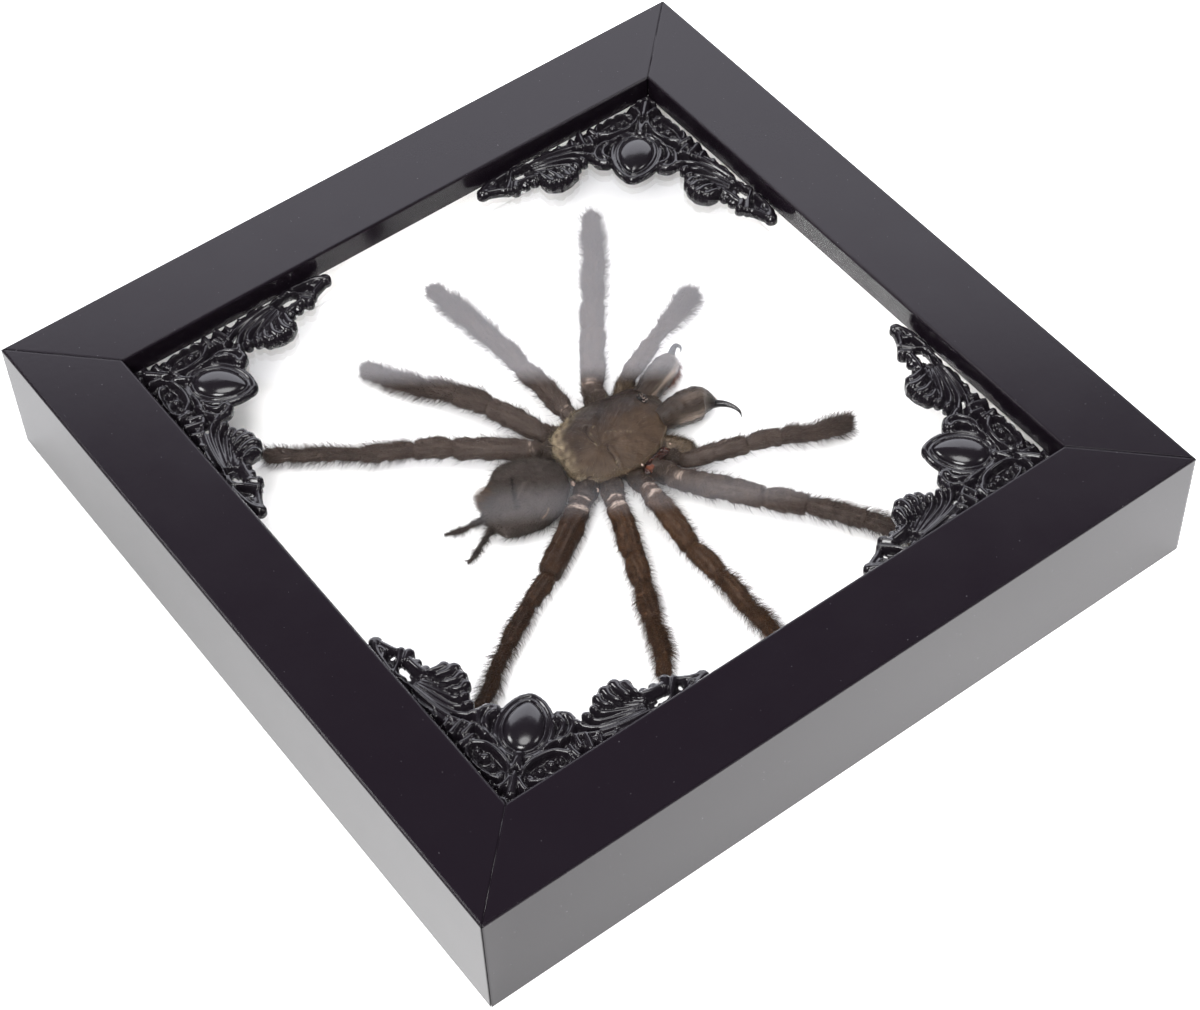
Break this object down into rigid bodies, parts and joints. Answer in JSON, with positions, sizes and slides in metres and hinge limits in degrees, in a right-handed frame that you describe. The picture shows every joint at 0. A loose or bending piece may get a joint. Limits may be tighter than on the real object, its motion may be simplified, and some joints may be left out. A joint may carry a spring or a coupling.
{
  "type": "framed tarantula specimen",
  "caption": "Square black shadow-box frame with glass, cast black corner scrollwork on the glass, and a dried tarantula spread on a white board inside.",
  "frame": {"origin": "middle of the frame's back, on the surface it lies on", "axes": "+Z out through the glass, +Y towards the side the spider's head points to, +X to the right seen from the front"},
  "size_m": [0.203, 0.203, 0.0345],
  "materials": {
    "frame_lacquer": "satin black lacquer",
    "glass": "clear float glass",
    "mount_board": "matt white",
    "fibreboard": "raw brown hardboard",
    "zinc_steel": "bright zinc plate",
    "black_resin": "gloss black",
    "spider_body": "dry cuticle with short silky hair",
    "spider_jaw": "dry cuticle with short hair",
    "spider_fang": "polished black",
    "spider_leg": "dry cuticle with bristles"
  },
  "bodies": {
    "root": {"frame_rail_bottom": "frame_lacquer", "frame_rail_right": "frame_lacquer", "frame_rail_top": "frame_lacquer", "frame_rail_left": "frame_lacquer", "glass_pane": "glass", "mount_board": "mount_board", "spacer_top": "mount_board", "spacer_bottom": "mount_board", "spacer_left": "mount_board", "spacer_right": "mount_board", "back_board": "fibreboard", "tab_top_a": "zinc_steel", "tab_top_b": "zinc_steel", "tab_left_a": "zinc_steel", "tab_left_b": "zinc_steel", "tab_bottom_a": "zinc_steel", "tab_bottom_b": "zinc_steel", "tab_right_a": "zinc_steel", "tab_right_b": "zinc_steel", "hanger_plate": "zinc_steel", "hanger_rivet_left": "zinc_steel", "hanger_rivet_right": "zinc_steel", "corner_ornament_bottom_left": "black_resin", "corner_ornament_bottom_right": "black_resin", "corner_ornament_top_right": "black_resin", "corner_ornament_top_left": "black_resin", "prosoma": "spider_body", "abdomen": "spider_body", "spinneret_left": "spider_body", "spinneret_right": "spider_body", "chelicera_left": "spider_jaw", "chelicera_right": "spider_jaw", "fang_left": "spider_fang", "fang_right": "spider_fang", "palp_left": "spider_leg", "palp_right": "spider_leg", "leg_1_left": "spider_leg", "leg_2_left": "spider_leg", "leg_3_left": "spider_leg", "leg_4_left": "spider_leg", "leg_1_right": "spider_leg", "leg_2_right": "spider_leg", "leg_3_right": "spider_leg", "leg_4_right": "spider_leg"}
  },
  "joints": []
}
